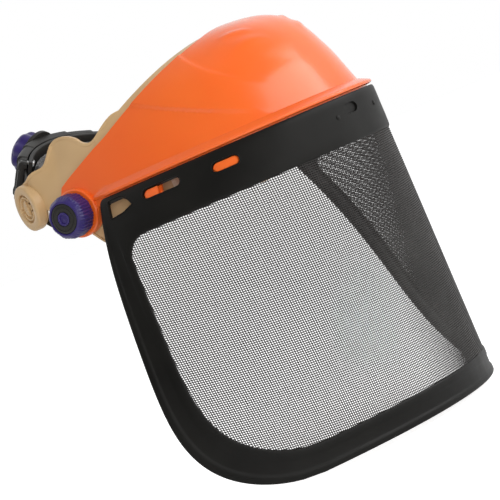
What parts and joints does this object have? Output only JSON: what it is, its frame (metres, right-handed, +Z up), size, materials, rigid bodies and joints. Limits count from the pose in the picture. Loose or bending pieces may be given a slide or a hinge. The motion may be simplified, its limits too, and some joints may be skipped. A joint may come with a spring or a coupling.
{
  "type": "face shield",
  "caption": "Flip-up browguard with a woven wire mesh visor on a ratchet headgear, with clamp knobs at the temples.",
  "frame": {"origin": "middle of the axis through the two temple pivots, on the head's centre plane", "axes": "+Z up the head, -Y out through the visor, +X to the wearer's left"},
  "size_m": [0.3092, 0.2678, 0.2767],
  "materials": {
    "orange_shell": "glossy injection-moulded nylon",
    "tan_plastic": "fine matt moulded plastic",
    "black_plastic": "satin moulded plastic",
    "black_strap": "matt flexible plastic",
    "wire_mesh": "woven wire, plain weave",
    "purple_plastic": "satin moulded plastic",
    "sweat_foam": "cloth-faced foam",
    "dark_foam": "cloth-faced foam",
    "zinc_steel": "zinc plated",
    "brass": "turned",
    "white_acetal": "moulded acetal",
    "grey_nylon": "moulded nylon"
  },
  "bodies": {
    "headband": {"headband": "tan_plastic", "sweatband": "sweat_foam", "pivot_bolt_right": "zinc_steel", "pivot_bolt_left": "zinc_steel", "pivot_washer_right": "grey_nylon", "pivot_washer_left": "grey_nylon", "strap_stud_right": "tan_plastic", "strap_stud_left": "tan_plastic"},
    "brow_guard": {"brow_guard": "orange_shell", "visor_frame": "black_plastic", "visor_mesh": "wire_mesh"},
    "knob_right": {"knob_right": "purple_plastic", "knob_cap_right": "black_plastic", "knob_nut_right": "brass"},
    "knob_left": {"knob_left": "purple_plastic", "knob_cap_left": "black_plastic", "knob_nut_left": "brass"},
    "nape_cradle": {"nape_cover": "black_plastic", "nape_plate": "black_plastic", "nape_pad": "dark_foam", "nape_screw_1": "zinc_steel", "nape_screw_2": "zinc_steel", "nape_screw_3": "zinc_steel", "nape_screw_4": "zinc_steel"},
    "strap_right": {"strap_right": "black_strap"},
    "strap_left": {"strap_left": "black_strap"},
    "ratchet_knob": {"ratchet_knob": "purple_plastic", "ratchet_pinion": "white_acetal", "pawl_disc": "white_acetal", "knob_screw": "zinc_steel"}
  },
  "joints": [
    {"name": "guard_flip", "type": "hinge", "parent": "headband", "child": "brow_guard", "pos_m": [0, 0, 0], "axis": [-1, 0, 0], "range_deg": [0, 74]},
    {"name": "knob_right_turn", "type": "hinge", "parent": "headband", "child": "knob_right", "pos_m": [-0.1, 0, 0], "axis": [-1, 0, 0], "range_deg": [0, 270]},
    {"name": "knob_left_turn", "type": "hinge", "parent": "headband", "child": "knob_left", "pos_m": [0.1, 0, 0], "axis": [1, 0, 0], "range_deg": [-270, 0]},
    {"name": "nape_tilt", "type": "hinge", "parent": "headband", "child": "nape_cradle", "pos_m": [0, 0.0465, 0.016], "axis": [1, 0, 0], "range_deg": [-36, 0]},
    {"name": "ratchet_turn", "type": "hinge", "parent": "nape_cradle", "child": "ratchet_knob", "pos_m": [0, 0.08306, 0.04457], "axis": [0, 0.788, 0.6157], "range_deg": [-124, 124]},
    {"name": "strap_right_slide", "type": "hinge", "parent": "nape_cradle", "child": "strap_right", "pos_m": [0, 0.02089, -0.00401], "axis": [0, -0.6157, 0.788], "range_deg": [-8, 8]},
    {"name": "strap_left_slide", "type": "hinge", "parent": "nape_cradle", "child": "strap_left", "pos_m": [0, 0.02089, -0.00401], "axis": [0, -0.6157, 0.788], "range_deg": [-8, 8]}
  ],
  "couplings": [
    {"joint": "strap_right_slide", "follows": "ratchet_turn", "ratio": -0.064103},
    {"joint": "strap_left_slide", "follows": "ratchet_turn", "ratio": 0.064103}
  ]
}
